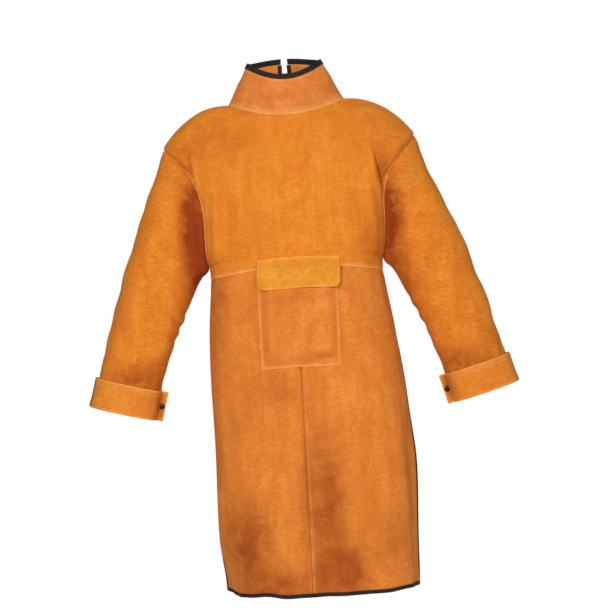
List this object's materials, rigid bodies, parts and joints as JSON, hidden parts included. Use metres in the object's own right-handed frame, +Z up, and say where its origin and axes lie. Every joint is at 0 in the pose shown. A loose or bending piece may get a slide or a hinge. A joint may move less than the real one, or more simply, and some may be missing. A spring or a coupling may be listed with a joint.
{
  "type": "leather welding coat",
  "caption": "Knee-length suede welding coat, closed in front and open at the back, with standing collar, snap cuffs, back straps and a flap pocket over the waist seam.",
  "frame": {"origin": "midway between the two points where the shoulder seams meet the collar, where the coat rests on its wearer", "axes": "+Z up the body, -Y the way the wearer faces, +X to the wearer's left"},
  "size_m": [0.94, 0.2772, 1.1738],
  "materials": {
    "suede": "golden-orange napped split cowhide, mottled, matt",
    "tape": "black woven binding tape, matt",
    "snap_metal": "blackened steel, satin"
  },
  "bodies": {
    "coat": {"chest_front": "suede", "back_left": "suede", "back_right": "suede", "skirt_left": "suede", "skirt_right": "suede", "collar": "suede", "pocket": "suede", "back_edge_binding_left": "tape", "back_edge_binding_right": "tape", "back_hem_binding_left": "tape", "back_hem_binding_right": "tape", "skirt_edge_binding_left": "tape", "skirt_edge_binding_right": "tape", "hem_binding_left": "tape", "hem_binding_right": "tape", "collar_binding": "tape", "collar_end_binding_left": "tape", "collar_end_binding_right": "tape", "waist_strap_snap_stud": "snap_metal", "waist_strap_snap_post": "snap_metal", "shoulder_strap_snap_stud": "snap_metal", "shoulder_strap_snap_post": "snap_metal", "collar_tab_snap_stud": "snap_metal", "collar_tab_snap_post": "snap_metal"},
    "sleeve_left": {"sleeve_left": "suede", "cuff_left": "suede", "cuff_binding_left": "tape", "cuff_left_snap_stud": "snap_metal", "cuff_left_snap_post": "snap_metal"},
    "sleeve_right": {"sleeve_right": "suede", "cuff_right": "suede", "cuff_binding_right": "tape", "cuff_right_snap_stud": "snap_metal", "cuff_right_snap_post": "snap_metal"},
    "cuff_tab_left": {"cuff_tab_left": "suede", "cuff_left_snap_cap": "snap_metal", "cuff_left_snap_socket": "snap_metal"},
    "cuff_tab_right": {"cuff_tab_right": "suede", "cuff_right_snap_cap": "snap_metal", "cuff_right_snap_socket": "snap_metal"},
    "waist_strap": {"waist_strap": "suede", "waist_strap_snap_cap": "snap_metal", "waist_strap_snap_socket": "snap_metal"},
    "shoulder_strap": {"shoulder_strap": "suede", "shoulder_strap_snap_cap": "snap_metal", "shoulder_strap_snap_socket": "snap_metal"},
    "collar_tab": {"collar_tab": "suede", "collar_tab_snap_cap": "snap_metal", "collar_tab_snap_socket": "snap_metal"},
    "pocket_flap": {"pocket_flap": "suede"}
  },
  "joints": [
    {"name": "left_sleeve_raise", "type": "hinge", "parent": "coat", "child": "sleeve_left", "pos_m": [0.272, 0, -0.084], "axis": [0, -1, 0], "range_deg": [0, 35]},
    {"name": "right_sleeve_raise", "type": "hinge", "parent": "coat", "child": "sleeve_right", "pos_m": [-0.272, 0, -0.084], "axis": [0, 1, 0], "range_deg": [0, 35]},
    {"name": "left_cuff_open", "type": "hinge", "parent": "sleeve_left", "child": "cuff_tab_left", "pos_m": [0.3188, -0.02145, -0.647], "axis": [-0.2656, 0, 0.9641], "range_deg": [0, 90]},
    {"name": "right_cuff_open", "type": "hinge", "parent": "sleeve_right", "child": "cuff_tab_right", "pos_m": [-0.3188, -0.02145, -0.647], "axis": [-0.2656, 0, -0.9641], "range_deg": [0, 90]},
    {"name": "waist_strap_open", "type": "hinge", "parent": "coat", "child": "waist_strap", "pos_m": [0.07407, 0.11416, -0.32809], "axis": [0.0088, -0.1325, -0.9911], "range_deg": [0, 100]},
    {"name": "shoulder_strap_open", "type": "hinge", "parent": "coat", "child": "shoulder_strap", "pos_m": [0.07401, 0.12279, -0.18739], "axis": [-0.0004, 0.0289, -0.9996], "range_deg": [0, 100]},
    {"name": "collar_tab_open", "type": "hinge", "parent": "coat", "child": "collar_tab", "pos_m": [0.07117, 0.05009, 0.04938], "axis": [0.0268, 0.1914, -0.9811], "range_deg": [0, 100]},
    {"name": "pocket_flap_lift", "type": "hinge", "parent": "coat", "child": "pocket_flap", "pos_m": [0, -0.1204, -0.342], "axis": [-1, 0, 0], "range_deg": [0, 150]}
  ]
}
